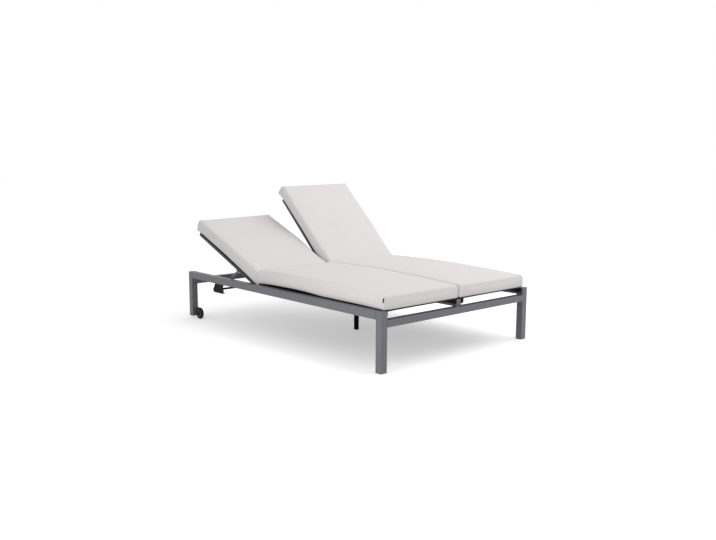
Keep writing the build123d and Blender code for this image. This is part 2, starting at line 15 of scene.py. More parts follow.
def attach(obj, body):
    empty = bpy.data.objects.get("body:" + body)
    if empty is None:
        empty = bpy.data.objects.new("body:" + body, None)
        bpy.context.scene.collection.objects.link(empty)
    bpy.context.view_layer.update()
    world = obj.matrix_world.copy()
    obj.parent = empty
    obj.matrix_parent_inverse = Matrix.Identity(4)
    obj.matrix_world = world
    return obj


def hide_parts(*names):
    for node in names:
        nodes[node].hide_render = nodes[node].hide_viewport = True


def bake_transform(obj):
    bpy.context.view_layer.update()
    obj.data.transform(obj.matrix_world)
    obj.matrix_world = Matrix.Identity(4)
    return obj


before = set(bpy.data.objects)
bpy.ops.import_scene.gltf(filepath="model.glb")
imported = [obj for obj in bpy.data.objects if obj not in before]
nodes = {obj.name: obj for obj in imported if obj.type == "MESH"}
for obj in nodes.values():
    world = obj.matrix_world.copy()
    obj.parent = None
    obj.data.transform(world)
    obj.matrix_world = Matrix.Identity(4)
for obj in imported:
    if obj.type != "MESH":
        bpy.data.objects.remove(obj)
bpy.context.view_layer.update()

scene = bpy.context.scene


def add_object(name, data):
    """A new object with its data, in the scene."""
    thing = bpy.data.objects.new(name, data)
    scene.collection.objects.link(thing)
    return thing


# %% [markdown]
# The camera repeats the photograph's view. Its place, direction and focal length were worked out
# from the straight edges of the frame. A full-frame sensor 36 mm wide turns the focal length in
# picture widths into a lens in millimetres.

# %% Camera
camera_place = Vector((-3.3727, -3.8481, 1.1219))
camera_yaw = 0.73321
camera_pitch = 0.14115
camera_roll = 0.00466
focal_pixels = 765.75
picture_width = 716
sensor_width = 36

camera_data = bpy.data.cameras.new("photo_camera")
camera_data.sensor_width = sensor_width
camera_data.lens = focal_pixels / picture_width * sensor_width
camera = add_object("photo_camera", camera_data)
scene.camera = camera

ahead = Vector((math.sin(camera_yaw) * math.cos(camera_pitch),
                math.cos(camera_yaw) * math.cos(camera_pitch), -math.sin(camera_pitch)))
level_right = Vector((math.cos(camera_yaw), -math.sin(camera_yaw), 0))
level_up = level_right.cross(ahead)
turn, lift = math.cos(camera_roll), math.sin(camera_roll)
right_way = turn * level_right + lift * level_up
up_way = -lift * level_right + turn * level_up
axes = Matrix((right_way, up_way, -ahead)).transposed().to_4x4()
camera.matrix_world = Matrix.Translation(camera_place) @ axes
print("lens:", round(camera_data.lens, 2), "mm")

# %% [markdown]
# The studio is a pale floor, a world that glows evenly, and two lamps. The world is white to the
# camera and in reflections, and dimmer as a light, so that the broad lamp overhead makes tops
# lighter than sides, as they are in the photograph. The small lamp stands low beside the near
# foot leg, whose side is lighter than its front there. The floor glows a little for the same rays
# as the backdrop, which makes it as white as that and keeps the shadow on it.


# %% Node helpers, and the rays that see the background
def feed(tree, socket, value):
    """Link a socket to another node's output, or write a plain number into it."""
    if isinstance(value, bpy.types.NodeSocket):
        tree.links.new(value, socket)
    else:
        socket.default_value = value


def maths(tree, operation, *values):
    """A math node with its inputs fed, and its result."""
    node = tree.nodes.new("ShaderNodeMath")
    node.operation = operation
    for socket, value in zip(node.inputs, values):
        feed(tree, socket, value)
    return node.outputs[0]


def show_apart(tree, plain, seen, output):
    """Give camera, glossy and transmission rays the seen shader, and all others the plain one."""
    path = tree.nodes.new("ShaderNodeLightPath")
    direct = maths(tree, "MAXIMUM", path.outputs["Is Camera Ray"], path.outputs["Is Glossy Ray"])
    either = maths(tree, "MAXIMUM", direct, path.outputs["Is Transmission Ray"])
    mix = tree.nodes.new("ShaderNodeMixShader")
    for socket, value in zip(mix.inputs, (either, plain.outputs[0], seen.outputs[0])):
        feed(tree, socket, value)
    feed(tree, tree.nodes.new(output).inputs["Surface"], mix.outputs[0])


# %% World
world_light = 0.755

world = bpy.data.worlds.new("studio")
scene.world = world
world.use_nodes = True
sky = world.node_tree
sky.nodes.clear()
lighting = sky.nodes.new("ShaderNodeBackground")
backdrop = sky.nodes.new("ShaderNodeBackground")
for glow, strength in ((lighting, world_light), (backdrop, 1.0)):
    glow.inputs["Color"].default_value = (1, 1, 1, 1)
    glow.inputs["Strength"].default_value = strength
show_apart(sky, lighting, backdrop, "ShaderNodeOutputWorld")
print("world light:", world_light)

# %% Lamps
# Diameter, power in watts, place, and the point that the lamp is aimed at
lamps = {
    "overhead": (5.0, 90, Vector((2.0, -1.6, 3.8)), Vector((0, 0, 0.3))),
    "side": (0.8, 5.7, Vector((-1.9, -0.9, 0.45)), Vector((-0.64, -0.9, 0.2))),
}
for name, (size, power, place, aim) in lamps.items():
    lamp_data = bpy.data.lights.new(name, "AREA")
    lamp_data.shape = "DISK"
    lamp_data.size = size
    lamp_data.energy = power
    lamp = add_object(name, lamp_data)
    lamp.visible_camera = False
    lamp.location = place
    lamp.rotation_euler = (aim - place).to_track_quat("-Z", "Y").to_euler()
    print(name, "lamp:", power, "W")

# %% Floor
floor_reach = 40
floor_colour = (0.80, 0.80, 0.80, 1)
floor_glow_strength = 0.40
corner_signs = [(-1, -1), (1, -1), (1, 1), (-1, 1)]

floor_mesh = bpy.data.meshes.new("floor")
floor_mesh.from_pydata([(x * floor_reach, y * floor_reach, 0) for x, y in corner_signs],
                       [], [(0, 1, 2, 3)])
floor = add_object("floor", floor_mesh)
floor_paint = bpy.data.materials.new("pale_floor")
floor_paint.use_nodes = True
floor_tree = floor_paint.node_tree
floor_tree.nodes.clear()
floor_diffuse = floor_tree.nodes.new("ShaderNodeBsdfDiffuse")
floor_diffuse.inputs["Color"].default_value = floor_colour
floor_glow = floor_tree.nodes.new("ShaderNodeEmission")
floor_glow.inputs["Strength"].default_value = floor_glow_strength
floor_sum = floor_tree.nodes.new("ShaderNodeAddShader")
feed(floor_tree, floor_sum.inputs[0], floor_diffuse.outputs[0])
feed(floor_tree, floor_sum.inputs[1], floor_glow.outputs[0])
show_apart(floor_tree, floor_diffuse, floor_sum, "ShaderNodeOutputMaterial")
floor_mesh.materials.append(floor_paint)
scene.view_settings.view_transform = "Standard"
print("floor:", 2 * floor_reach, "m across")

# %% [markdown]
# Three effects are used by several finishes, so each is a shader group with named inputs. A group
# gives out only heights and masks; the shader itself stays in each material.
#
# - woven threads: a plain weave, one thread over the other in turn, from the piece's own map
# - fine grain: the skin of powder coat, moulded plastic or rubber
# - floor scuffs: rubbed spots that gather near the floor


# %% Helpers for shader groups
def group_tree(name, inputs, outputs):
    """An empty shader group with named sockets, and its input and output nodes."""
    tree = bpy.data.node_groups.new(name, "ShaderNodeTree")
    for label, kind, value in inputs:
        socket = tree.interface.new_socket(label, in_out="INPUT", socket_type=kind)
        if value is not None:
            socket.default_value = value
    for label in outputs:
        tree.interface.new_socket(label, in_out="OUTPUT", socket_type="NodeSocketFloat")
    return tree, tree.nodes.new("NodeGroupInput"), tree.nodes.new("NodeGroupOutput")


def noise(tree, vector, size, detail, roughness):
    """Soft noise with bumps of about a given size."""
    node = tree.nodes.new("ShaderNodeTexNoise")
    feed(tree, node.inputs["Vector"], vector)
    feed(tree, node.inputs["Scale"], maths(tree, "DIVIDE", 1.0, size))
    node.inputs["Detail"].default_value = detail
    node.inputs["Roughness"].default_value = roughness
    return node.outputs["Fac"]


# %% Woven threads
threads_per_slub = 6.0

weave_tree, weave_in, weave_out = group_tree(
    "woven_threads",
    [("Map", "NodeSocketVector", None), ("Thread", "NodeSocketFloat", 0.001),
     ("Slub", "NodeSocketFloat", 0.3)],
    ["Height", "Shade"])
scaled = weave_tree.nodes.new("ShaderNodeVectorMath")
scaled.operation = "SCALE"
feed(weave_tree, scaled.inputs[0], weave_in.outputs["Map"])
feed(weave_tree, scaled.inputs["Scale"],
     maths(weave_tree, "DIVIDE", 1.0, weave_in.outputs["Thread"]))
apart = weave_tree.nodes.new("ShaderNodeSeparateXYZ")
feed(weave_tree, apart.inputs[0], scaled.outputs[0])
across_thread = maths(weave_tree, "ABSOLUTE", maths(
    weave_tree, "SINE", maths(weave_tree, "MULTIPLY", apart.outputs["X"], math.pi)))
along_thread = maths(weave_tree, "ABSOLUTE", maths(
    weave_tree, "SINE", maths(weave_tree, "MULTIPLY", apart.outputs["Y"], math.pi)))
cells = maths(weave_tree, "ADD", maths(weave_tree, "FLOOR", apart.outputs["X"]),
              maths(weave_tree, "FLOOR", apart.outputs["Y"]))
over = maths(weave_tree, "PINGPONG", cells, 1.0)
height = weave_tree.nodes.new("ShaderNodeMix")
feed(weave_tree, height.inputs["Factor"], over)
feed(weave_tree, height.inputs["A"], across_thread)
feed(weave_tree, height.inputs["B"], along_thread)
uneven = noise(weave_tree, weave_in.outputs["Map"],
               maths(weave_tree, "MULTIPLY", weave_in.outputs["Thread"], threads_per_slub),
               detail=3.0, roughness=0.6)
feed(weave_tree, weave_out.inputs["Height"], maths(
    weave_tree, "MULTIPLY_ADD", uneven, weave_in.outputs["Slub"], height.outputs["Result"]))
feed(weave_tree, weave_out.inputs["Shade"], uneven)

# %% Fine grain
grain_tree, grain_in, grain_out = group_tree(
    "fine_grain",
    [("Size", "NodeSocketFloat", 0.001), ("Patch", "NodeSocketFloat", 0.08)],
    ["Height", "Shade"])
grain_place = grain_tree.nodes.new("ShaderNodeTexCoord")
feed(grain_tree, grain_out.inputs["Height"],
     noise(grain_tree, grain_place.outputs["Object"], grain_in.outputs["Size"],
           detail=3.0, roughness=0.55))
feed(grain_tree, grain_out.inputs["Shade"],
     noise(grain_tree, grain_place.outputs["Object"], grain_in.outputs["Patch"],
           detail=4.0, roughness=0.6))

# %% Floor scuffs
scratch_size = 0.006
scratch_contrast = 9.0

scuff_tree, scuff_in, scuff_out = group_tree(
    "floor_scuffs",
    [("Reach", "NodeSocketFloat", 0.05), ("Spread", "NodeSocketFloat", 0.5)],
    ["Mask"])
scuff_place = scuff_tree.nodes.new("ShaderNodeTexCoord")
scuff_apart = scuff_tree.nodes.new("ShaderNodeSeparateXYZ")
feed(scuff_tree, scuff_apart.inputs[0], scuff_place.outputs["Object"])
low_down = maths(scuff_tree, "SUBTRACT", 1.0, maths(
    scuff_tree, "DIVIDE", scuff_apart.outputs["Z"], scuff_in.outputs["Reach"]))
scratches = noise(scuff_tree, scuff_place.outputs["Object"], scratch_size,
                  detail=5.0, roughness=0.7)
spots = maths(scuff_tree, "SUBTRACT", scratches, scuff_in.outputs["Spread"])
near_floor = maths(scuff_tree, "MAXIMUM", low_down, 0.0)
mask = scuff_tree.nodes.new("ShaderNodeClamp")
feed(scuff_tree, mask.inputs["Value"], maths(
    scuff_tree, "MULTIPLY", maths(scuff_tree, "MULTIPLY", spots, scratch_contrast), near_floor))
feed(scuff_tree, scuff_out.inputs["Mask"], mask.outputs[0])
print("shader groups:", [g.name for g in bpy.data.node_groups])

# %% [markdown]
# Each finish is one material: a shader whose colour, roughness and bump come from the groups. The
# helpers below hold what every finish needs, such as a colour that varies a little between two
# tones and a bump of a stated depth in metres.


# %% Material helpers
def start_material(name, roughness, specular, metallic=0.0):
    """A material with a principled shader, and its node tree."""
    material = bpy.data.materials.new(name)
    material.use_nodes = True
    tree = material.node_tree
    shader = tree.nodes["Principled BSDF"]
    shader.inputs["Roughness"].default_value = roughness
    shader.inputs["Metallic"].default_value = metallic
    shader.inputs["Specular IOR Level"].default_value = specular
    return material, tree, shader


def place_group(tree, name, **values):
    """A shader group placed in a material, with its inputs set."""
    node = tree.nodes.new("ShaderNodeGroup")
    node.node_tree = bpy.data.node_groups[name]
    for label, value in values.items():
        feed(tree, node.inputs[label], value)
    return node


def two_tone(tree, mask, dark, light):
    """A colour between two tones, by a mask."""
    node = tree.nodes.new("ShaderNodeMix")
    node.data_type = "RGBA"
    feed(tree, node.inputs["Factor"], mask)
    feed(tree, node.inputs["A"], dark if isinstance(dark, bpy.types.NodeSocket) else (*dark, 1))
    node.inputs["B"].default_value = (*light, 1)
    return node.outputs["Result"]


def bump(tree, shader, height, depth):
    """A bump of a depth in metres."""
    node = tree.nodes.new("ShaderNodeBump")
    node.inputs["Distance"].default_value = depth
    node.inputs["Strength"].default_value = 1.0
    feed(tree, node.inputs["Height"], height)
    tree.links.new(node.outputs[0], shader.inputs["Normal"])


def spread(tree, value, low, high):
    """Stretch a value from 0..1 to a range."""
    node = tree.nodes.new("ShaderNodeMapRange")
    feed(tree, node.inputs["Value"], value)
    node.inputs["To Min"].default_value = low
    node.inputs["To Max"].default_value = high
    return node.outputs[0]


# %% Powder-coated tube
rub_share = 0.35
coat_depth = 0.00012


def coated_metal(name, dark, light, roughness, specular, rub):
    """Painted metal with a fine orange-peel skin, and scuffs near the floor."""
    material, tree, shader = start_material(name, roughness, specular)
    grain = place_group(tree, "fine_grain", Size=0.0016, Patch=0.12)
    scuffs = place_group(tree, "floor_scuffs", Reach=0.05, Spread=0.52)
    rubbed = maths(tree, "MULTIPLY", scuffs.outputs["Mask"], rub_share)
    tone = two_tone(tree, grain.outputs["Shade"], dark, light)
    feed(tree, shader.inputs["Base Color"], two_tone(tree, rubbed, tone, rub))
    feed(tree, shader.inputs["Roughness"],
         spread(tree, grain.outputs["Shade"], roughness - 0.06, roughness + 0.08))
    bump(tree, shader, grain.outputs["Height"], coat_depth)
    return material


slate = coated_metal(
    "slate_powder_coat", dark=(0.112, 0.114, 0.126), light=(0.136, 0.137, 0.151),
    roughness=0.38, specular=0.50, rub=(0.30, 0.30, 0.31))
dark_slate = coated_metal(
    "dark_powder_coat", dark=(0.072, 0.073, 0.080), light=(0.088, 0.089, 0.098),
    roughness=0.5, specular=0.12, rub=(0.3, 0.3, 0.31))
# Bars in their own black coat, set darker still and almost without reflection as painted shade, for
# the shade they stand in.
black_bar_and_painted_shade = coated_metal(
    "black_coat_and_painted_shade", dark=(0.002, 0.002, 0.002), light=(0.005, 0.005, 0.005),
    roughness=0.6, specular=0.03, rub=(0.03, 0.03, 0.03))


# %% Moulded and rubber finishes
worn_extra = 0.2


def moulded(name, dark, light, roughness, specular, size, depth):
    """Moulded plastic or rubber with an even grain."""
    material, tree, shader = start_material(name, roughness, specular)
    grain = place_group(tree, "fine_grain", Size=size, Patch=0.03)
    scuffs = place_group(tree, "floor_scuffs", Reach=0.03, Spread=0.5)
    feed(tree, shader.inputs["Base Color"], two_tone(tree, grain.outputs["Shade"], dark, light))
    feed(tree, shader.inputs["Roughness"],
         maths(tree, "MULTIPLY_ADD", scuffs.outputs["Mask"], worn_extra, roughness))
    bump(tree, shader, grain.outputs["Height"], depth)
    return material


# Dark tone, light tone, roughness, specular level, and size and depth of the grain
mouldings = {
    # The black moulding is its own black, set darker still as painted shade, for the shade that the
    # caps, the centre foot and the racks stand in.
    "black_moulding_and_painted_shade": ((0.004, 0.004, 0.004), (0.009, 0.009, 0.010), 0.55, 0.12, 0.0009, 0.0001),
    "grey_cap": ((0.150, 0.150, 0.162), (0.185, 0.185, 0.200), 0.55, 0.25, 0.0009, 0.0001),
    "hub_moulding": ((0.075, 0.075, 0.080), (0.105, 0.105, 0.112), 0.5, 0.25, 0.0009, 0.0001),
    "tyre_rubber": ((0.008, 0.008, 0.008), (0.016, 0.016, 0.016), 0.8, 0.2, 0.0022, 0.0003),
    "black_thread": ((0.010, 0.010, 0.010), (0.020, 0.020, 0.020), 0.6, 0.2, 0.0006, 0.00005),
}
black_plastic_and_painted_shade, grey_plastic, hub_plastic, tyre_rubber, black_thread = [
    moulded(name, *row) for name, row in mouldings.items()]


# %% Anodised rails and plain steel
line_size = 0.0012
line_depth = 0.00005


def bare_metal(name, dark, light, roughness, metallic, specular, stretch):
    """Metal with fine lines along one direction."""
    material, tree, shader = start_material(name, roughness, specular, metallic)
    place = tree.nodes.new("ShaderNodeTexCoord")
    along = tree.nodes.new("ShaderNodeMapping")
    along.inputs["Scale"].default_value = stretch
    tree.links.new(place.outputs["Object"], along.inputs["Vector"])
    lines = noise(tree, along.outputs[0], line_size, detail=3.0, roughness=0.6)
    feed(tree, shader.inputs["Base Color"], two_tone(tree, lines, dark, light))
    feed(tree, shader.inputs["Roughness"], spread(tree, lines, roughness - 0.07, roughness + 0.07))
    bump(tree, shader, lines, line_depth)
    return material


# The sling rails are their own black, set darker still as painted shade, for the dark shade between
# the cushions and the side rails.
black_anodised_and_painted_shade = bare_metal(
    "black_anodised_and_painted_shade", dark=(0.004, 0.004, 0.005), light=(0.009, 0.009, 0.010),
    roughness=0.5, metallic=0.05, specular=0.1, stretch=(1, 0.02, 1))
steel = bare_metal(
    "plain_steel", dark=(0.42, 0.42, 0.41), light=(0.56, 0.56, 0.55),
    roughness=0.34, metallic=1.0, specular=0.5, stretch=(0.05, 1, 1))


# %% Cushion cloth and sling mesh
cloud_size = 0.11
slub_share, cloud_share = 0.45, 0.55
cloth_specular, sheen_roughness = 0.25, 0.5


def woven(name, dark, light, thread, depth, roughness, sheen, slub):
    """Woven cloth whose threads follow the piece's own map."""
    material, tree, shader = start_material(name, roughness, cloth_specular)
    shader.inputs["Sheen Weight"].default_value = sheen
    shader.inputs["Sheen Roughness"].default_value = sheen_roughness
    own_map = tree.nodes.new("ShaderNodeUVMap")
    own_map.uv_map = "cloth"
    threads = place_group(tree, "woven_threads", Map=own_map.outputs[0], Thread=thread, Slub=slub)
    clouds = noise(tree, own_map.outputs[0], cloud_size, detail=4.0, roughness=0.6)
    mixed = maths(tree, "MULTIPLY_ADD", threads.outputs["Shade"], slub_share,
                  maths(tree, "MULTIPLY", clouds, cloud_share))
    feed(tree, shader.inputs["Base Color"], two_tone(tree, mixed, dark, light))
    feed(tree, shader.inputs["Roughness"],
         spread(tree, threads.outputs["Shade"], roughness - 0.05, roughness + 0.05))
    bump(tree, shader, threads.outputs["Height"], depth)
    return material


# Dark tone, light tone, thread width, depth of the weave, roughness, sheen, unevenness
cloths = {
    "cushion_cloth": ((0.655, 0.635, 0.631), (0.720, 0.700, 0.691), 0.0011, 0.00016, 0.9, 0.1, 0.5),
    # The sling mesh is its own black, set darker still as painted shade, for the dark gap between
    # the cushions and the side rails.
    "sling_mesh_and_painted_shade": ((0.004, 0.004, 0.004), (0.010, 0.010, 0.011), 0.0018, 0.0004, 0.8, 0.0, 0.3),
    "strap_cloth": ((0.006, 0.006, 0.006), (0.014, 0.014, 0.015), 0.0007, 0.0001, 0.8, 0.0, 0.3),
    "white_ribbon": ((0.74, 0.74, 0.73), (0.82, 0.82, 0.81), 0.0006, 0.0001, 0.8, 0.05, 0.2),
}
cushion_cloth, sling_cloth_and_painted_shade, strap_cloth, white_ribbon = [
    woven(name, *row) for name, row in cloths.items()]
print("materials:", len(bpy.data.materials))

# %% [markdown]
# The CAD nodes keep their shape and only change their finish. A table of which words in a node's
# name go with which finish is enough, because the nodes are named for what they are.

# %% Finishes of the CAD nodes
finish_by_name = [
    ("glide", grey_plastic), ("caps", black_plastic_and_painted_shade), ("centre_foot", black_plastic_and_painted_shade),
    ("sling_rail", black_anodised_and_painted_shade), ("rack_screws", steel), ("rack", black_plastic_and_painted_shade),
    ("bolts", steel), ("axles", black_bar_and_painted_shade), ("pins", steel), ("prop_bar", black_bar_and_painted_shade),
    # The centre leg gets the near-black bar finish as painted shade, for the shade it stands in
    # under the deck.
    ("tyre", tyre_rubber), ("hub", hub_plastic), ("centre_leg", black_bar_and_painted_shade),
    ("brace", black_bar_and_painted_shade), ("bearing", black_bar_and_painted_shade),
    ("back_tube", dark_slate), ("back_top", dark_slate), ("back_bottom", dark_slate),
]
for name, node in nodes.items():
    finish = next((f for word, f in finish_by_name if word in name), slate)
    node.data.materials.clear()
    node.data.materials.append(finish)
print("finished", len(nodes), "CAD nodes")

# %% [markdown]
# A cushion is a box of foam in a sewn cover, with a fold. It is made flat first: a closed box of
# quads, finer towards its edges and at the fold. Each point near an edge is drawn in towards an
# inner box and put back at one radius from it, which rounds the edge. Heights along the cushion
# come from two lines read off the photograph, one for the top edge and one for the lower edge,
# which curls up a little at the sides. Last, the back part is bent up about the backrest's hinge
# by a weight that rises smoothly across the fold.

# %% Sizes of the cushions
# Where the backrests are hinged, and how far each is turned up at rest
hinge_y, hinge_z = 0.2355, 0.3225
rest_angle = {"right": 22.5, "left": 44.0}
side_sign = {"right": -1, "left": 1}

# Across the beds: the two sides of each cushion, and how far the side that faces the other bed is
# drawn in, at the foot corner and on the back section
cushion_sides = {"right": (-0.6005, -0.0045), "left": (-0.0010, 0.6225)}
corner_draw = {"right": 0.0, "left": 0.008}
back_draw = {"right": 0.0, "left": 0.012}

# Along the cushion, places count from the hinge: the seat is negative and the back positive. The
# fold has a middle, and reaches as far to both sides of it.
foot_reach = -1.2135
head_reach = {"right": 0.769, "left": 0.800}
fold_place = {"right": -0.026, "left": -0.012}
fold_reach = {"right": 0.040, "left": 0.056}

# Heights, from the underside: of the top and lower edges along the cushion, and what the back
# section is thicker by at its -X and +X sides
underside, back_lift = 0.0135, 0.0020
top_line = [(-1.2135, 0.076), (-1.1155, 0.0825), (-0.9555, 0.091), (-0.7855, 0.0975),
            (-0.6055, 0.1025), (-0.4255, 0.1045), (-0.2255, 0.101), (-0.070, 0.095), (0.0, 0.090),
            (0.15, 0.084), (0.80, 0.079)]
low_line = [(-1.2135, 0.0), (-1.1455, 0.001), (-1.0355, 0.004), (-0.6855, 0.004),
            (-0.4855, 0.0145), (-0.3355, 0.0145), (-0.1200, 0.0090), (-0.030, 0.001), (0.0, 0.002),
            (0.1, 0.005), (0.4, 0.0095), (0.70, 0.005), (0.755, 0.001), (0.80, -0.009)]
head_swell = {"right": (0.004, 0.023), "left": (-0.008, 0.012)}
for side, (low_x, high_x) in cushion_sides.items():
    print(side, "cushion:", round(high_x - low_x, 4), "m wide,",
          round(head_reach[side] - foot_reach, 4), "m long")

# %% [markdown]
# Three small helpers serve the cushions and the slings. One spaces the points of a lattice, so that
# they lie close together only where a shape turns sharply.


# %% Lattice and curve helpers
def graded(low, high, edge, fine, coarse):
    """Places from low to high, fine within edge of both ends and coarse between."""
    ends = int(round(edge / fine))
    middle = max(2, int(round((high - low - 2 * edge) / coarse)))
    start = low + np.linspace(0, edge, ends + 1)[:-1]
    centre = np.linspace(low + edge, high - edge, middle + 1)[:-1]
    finish = high - edge + np.linspace(0, edge, ends + 1)
    return np.concatenate([start, centre, finish])


def smooth_step(value):
    """0 below 0, 1 above 1, and smooth between."""
    t = np.clip(value, 0, 1)
    return t * t * (3 - 2 * t)


def profile(along, line, blur=0.03):
    """A smooth curve close to a line that is given by a few places and heights."""
    places, heights = zip(*line)
    shifts = np.linspace(-blur, blur, 11)
    return np.mean([np.interp(along + shift, places, heights) for shift in shifts], axis=0)


# %% A closed box of quads, with a map in metres
map_height = 0.1


def box_grid(xs, ys, zs):
    """Points, faces and map of a closed box on a lattice. Its heights are shares, 0 to 1."""
    index, points, faces, spots = {}, [], [], []

    def corner(i, j, k):
        if (i, j, k) not in index:
            index[(i, j, k)] = len(points)
            points.append((xs[i], ys[j], zs[k]))
        return index[(i, j, k)]

    def side(ring, flat_map, flipped):
        if flipped:
            ring = ring[::-1]
        faces.append([corner(*place) for place in ring])
        spots.append([flat_map(*place) for place in ring])

    last_x, last_y, last_z = len(xs) - 1, len(ys) - 1, len(zs) - 1
    for i in range(last_x):
        for j in range(last_y):
            for k in (0, last_z):
                side([(i, j, k), (i + 1, j, k), (i + 1, j + 1, k), (i, j + 1, k)],
                     lambda a, b, c: (xs[a], ys[b]), k == 0)
    for j in range(last_y):
        for k in range(last_z):
            for i in (0, last_x):
                side([(i, j, k), (i, j + 1, k), (i, j + 1, k + 1), (i, j, k + 1)],
                     lambda a, b, c: (map_height * zs[c] + xs[-1] - xs[0], ys[b]), i == 0)
    for i in range(last_x):
        for k in range(last_z):
            for j in (0, last_y):
                side([(i, j, k), (i + 1, j, k), (i + 1, j, k + 1), (i, j, k + 1)],
                     lambda a, b, c: (xs[a], map_height * zs[c] + ys[-1] - ys[0]), j == last_y)
    return np.array(points, float), faces, spots


def piece_from(name, points, faces, spots, material):
    """A smooth mesh object with its map and material."""
    mesh = bpy.data.meshes.new(name)
    mesh.from_pydata([tuple(p) for p in points], [], faces)
    own_map = mesh.uv_layers.new(name="cloth")
    own_map.data.foreach_set("uv", [value for face in spots for spot in face for value in spot])
    mesh.materials.append(material)
    mesh.polygons.foreach_set("use_smooth", [True] * len(mesh.polygons))
    mesh.update()
    return add_object(name, mesh)


# %% The flat cushion
# How far the back section's swelling takes to build up, and the curl of the lower edge to fade
swell_reach, curl_reach = 0.40, 0.09
# Radius of the lower edges, the upright corners and the upper edges, and the shares of the height
# by which the first has gone over to the second, and from which the second goes over to the last
low_round, corner_round, top_round = 0.004, 0.003, 0.011
low_share, top_share = 0.25, 0.72


def heights_at(x, along, side):
    """Height of the cushion's low and top edges at each point."""
    low_x, high_x = cushion_sides[side]
    from_side = np.minimum(x - low_x, high_x - x)
    swell = np.interp(x, (low_x, high_x), head_swell[side]) * smooth_step(along / swell_reach)
    low = profile(along, low_line) * smooth_step(1 - from_side / curl_reach)
    return low, profile(along, top_line) + swell


def rounded(points, side):
    """Put a box's points on a cushion-high box with round edges."""
    low_x, high_x = cushion_sides[side]
    x, along, share = points.T
    low, top = heights_at(x, along, side)
    z = low + share * (top - low)
    radius = (corner_round
              + (low_round - corner_round) * smooth_step(1 - share / low_share)
              + (top_round - corner_round) * smooth_step((share - top_share) / (1 - top_share)))
    inward = np.stack([np.clip(x, low_x + radius, high_x - radius),
                       np.clip(along, foot_reach + radius, head_reach[side] - radius),
                       np.clip(z, low + radius, top - radius)], 1)
    out = np.stack([x, along, z], 1) - inward
    length = np.maximum(np.linalg.norm(out, axis=1), 1e-9)
    return inward + out / length[:, None] * radius[:, None]


# %% What the filling does to it
crown_rise, crown_reach, crown_power, crown_end = 0.005, 0.19, 2.2, 0.16
# Puckers along the sides: their height, how far in they reach, their pitch, and how it wanders
pucker_height, pucker_reach, pucker_pitch = 0.0006, 0.03, 140
wander, wander_pitch = 1.5, 23
# The crease is a narrow groove in a wide one
crease_depth, crease_width, wide_factor = 0.012, 0.009, 4
narrow_share, wide_share = 0.6, 0.4
side_bulge, side_waist, side_reach = 0.002, 0.0022, 0.02
# The folds of the cover beside the crease: how far out, how far along, and how wide
fold_welt = [(-0.0055, 0.010, 0.0055), (0.0012, -0.004, 0.007), (-0.0018, -0.017, 0.004)]
# How far inwards the inner side's draw is felt, and over what length it comes on
draw_reach, foot_draw_length, back_draw_length = 0.04, 0.06, 0.08


def filled(points, place, side):
    """Add the crown, the bulging and drawn-in sides, and the crease at the fold."""
    low_x, high_x = cushion_sides[side]
    x, along, share = points.T
    from_side = np.minimum(x - low_x, high_x - x)
    from_end = np.minimum(along - foot_reach, head_reach[side] - along)
    outward = np.where(x > (low_x + high_x) / 2, 1, -1)
    narrow = np.exp(-((along - fold_place[side]) / crease_width) ** 2)
    wide = np.exp(-((along - fold_place[side]) / (wide_factor * crease_width)) ** 2)
    rise = 1 - (1 - np.clip(from_side / crown_reach, 0, 1)) ** crown_power
    crown = rise * smooth_step(from_end / crown_end)
    pucker = (np.sin(along * pucker_pitch + wander * np.sin(along * wander_pitch))
              * np.exp(-(from_side / pucker_reach) ** 2))
    crease = crease_depth * (narrow_share * narrow + wide_share * wide)
    on_top = smooth_step(share * 2 - 1)
    place[:, 2] += on_top * (crown * crown_rise + pucker_height * pucker - crease)
    belly = np.sin(np.pi * share)
    seat_share = np.clip((along - foot_reach) / -foot_reach, 0, 1)
    welt = sum(depth * np.exp(-((along - fold_place[side] - shift) / width) ** 2)
               for depth, shift, width in fold_welt)
    swell = side_bulge * belly + welt - side_waist * np.sin(np.pi * seat_share)
    place[:, 0] += outward * (1 - smooth_step(from_side / side_reach)) * swell
    end_way = np.where(along < 0, -1, 1)
    place[:, 1] += end_way * (1 - smooth_step(from_end / side_reach)) * side_bulge * belly
    facing = (1 - smooth_step(from_side / draw_reach)) * (outward * side_sign[side] < 0)
    at_foot = 1 - smooth_step((along - foot_reach) / foot_draw_length)
    on_back = smooth_step(along / back_draw_length)
    drawn = at_foot * corner_draw[side] + on_back * back_draw[side]
    place[:, 0] += side_sign[side] * facing * drawn
    return place


# %% The sewn edges
seam_depth = 0.0009
core_inset, core_height = 0.04, 0.045


def sewn(points, place, side):
    """Sink the row of points along each sewn edge."""
    low_x, high_x = cushion_sides[side]
    x, along, share = points.T
    at_side = np.isclose(x, low_x) | np.isclose(x, high_x)
    at_end = np.isclose(along, foot_reach) | np.isclose(along, head_reach[side])
    at_face = np.isclose(share, 0) | np.isclose(share, 1)
    edge = ((at_side | at_end) & at_face) | (at_side & at_end)
    core = np.stack([np.clip(x, low_x + core_inset, high_x - core_inset),
                     np.clip(along, foot_reach + core_inset, head_reach[side] - core_inset),
                     np.full(len(place), core_height)], 1)
    way = core - place
    way /= np.linalg.norm(way, axis=1)[:, None] + 1e-9
    place[edge] += way[edge] * seam_depth
    return place


# %% The bend at the fold
squash = 0.3


